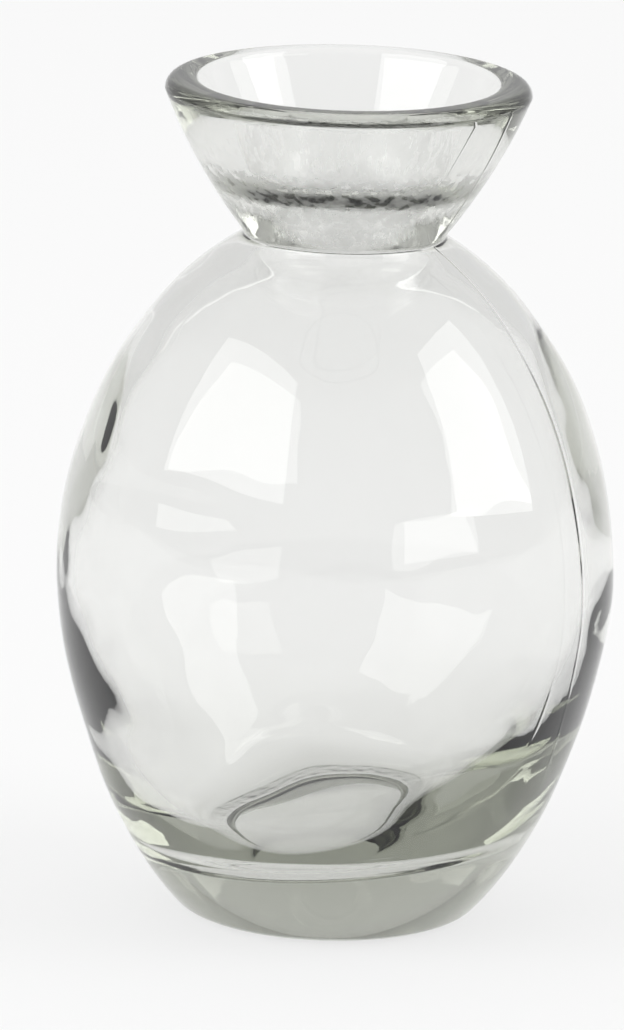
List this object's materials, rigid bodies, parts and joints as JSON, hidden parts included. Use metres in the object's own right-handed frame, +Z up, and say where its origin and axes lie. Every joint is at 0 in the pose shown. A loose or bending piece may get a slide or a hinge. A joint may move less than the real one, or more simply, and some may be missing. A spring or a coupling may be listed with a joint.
{
  "type": "glass bud vase",
  "caption": "Small clear glass bud vase: round belly on a ring foot, sharply creased neck and a thick-lipped flared collar.",
  "frame": {"origin": "centre of the foot, on the surface that the vase stands on", "axes": "+Z up along the axis of the vase, from the foot to the mouth; X and Y are alike, because the vase is round"},
  "size_m": [0.0726, 0.0726, 0.11],
  "materials": {
    "clear_glass": "clear moulded soda-lime glass, smooth and glossy, faint grey-green tint where thick"
  },
  "bodies": {
    "root": {"glass_vase": "clear_glass"}
  },
  "joints": []
}
